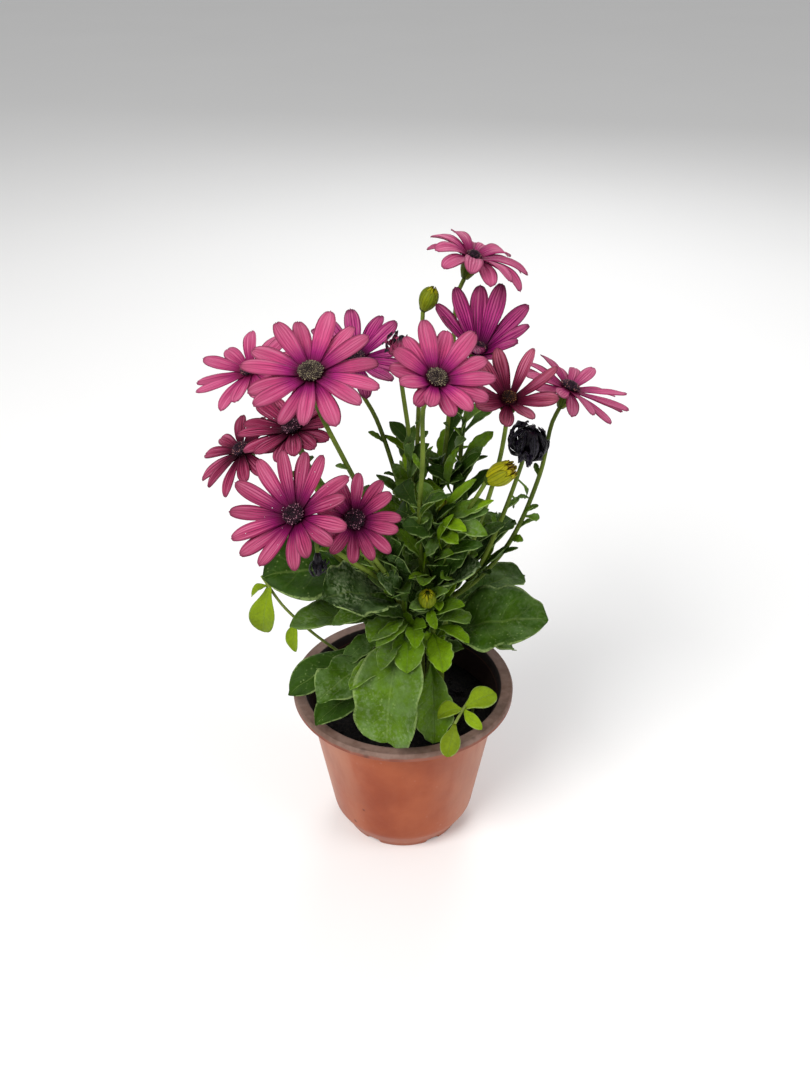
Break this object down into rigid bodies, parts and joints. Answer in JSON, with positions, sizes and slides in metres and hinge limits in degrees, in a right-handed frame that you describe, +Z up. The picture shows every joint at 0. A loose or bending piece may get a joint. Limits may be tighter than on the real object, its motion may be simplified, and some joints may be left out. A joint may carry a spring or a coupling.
{
  "type": "potted african daisy",
  "caption": "Flowering African daisy plant with pink open blooms, buds and toothed leaves, growing in a round terracotta-coloured plastic nursery pot filled with soil.",
  "frame": {"origin": "middle of the pot's foot, on the ground that it stands on", "axes": "+Z up; -Y towards the front, the side that the picture shows; +X to the right as seen from the front"},
  "size_m": [0.2057, 0.1631, 0.3275],
  "materials": {
    "pot": "satin terracotta-coloured plastic, dusty and scuffed",
    "soil": "damp dark crumbly potting soil",
    "foliage": "matte leaves and stalks with fine hairs and a pale dust",
    "petals": "satin pink to magenta petals with darker veins",
    "discs": "matte beaded florets, dark purple to grey-green",
    "withered": "dry crumpled near-black petals",
    "seedlings": "satin bright yellow-green leaves"
  },
  "bodies": {
    "root": {"pot": "pot", "soil": "soil", "shoot_left": "foliage", "shoot_front": "foliage", "shoot_middle": "foliage", "shoot_right": "foliage", "shoot_back": "foliage", "bloom_01_petals": "petals", "bloom_01_disc": "discs", "bloom_02_petals": "petals", "bloom_02_disc": "discs", "bloom_03_petals": "petals", "bloom_03_disc": "discs", "bloom_04_petals": "petals", "bloom_04_disc": "discs", "bloom_05_petals": "petals", "bloom_05_disc": "discs", "bloom_06_petals": "petals", "bloom_06_disc": "discs", "bloom_07_petals": "petals", "bloom_07_disc": "discs", "bloom_08_petals": "petals", "bloom_08_disc": "discs", "bloom_09_petals": "petals", "bloom_09_disc": "discs", "bloom_10_petals": "petals", "bloom_10_disc": "discs", "bloom_11_petals": "petals", "bloom_11_disc": "discs", "bloom_12_petals": "petals", "bloom_12_disc": "discs", "withered_head_1": "withered", "withered_head_2": "withered", "withered_head_3": "withered", "seedling_left": "seedlings", "seedling_right": "seedlings"}
  },
  "joints": []
}
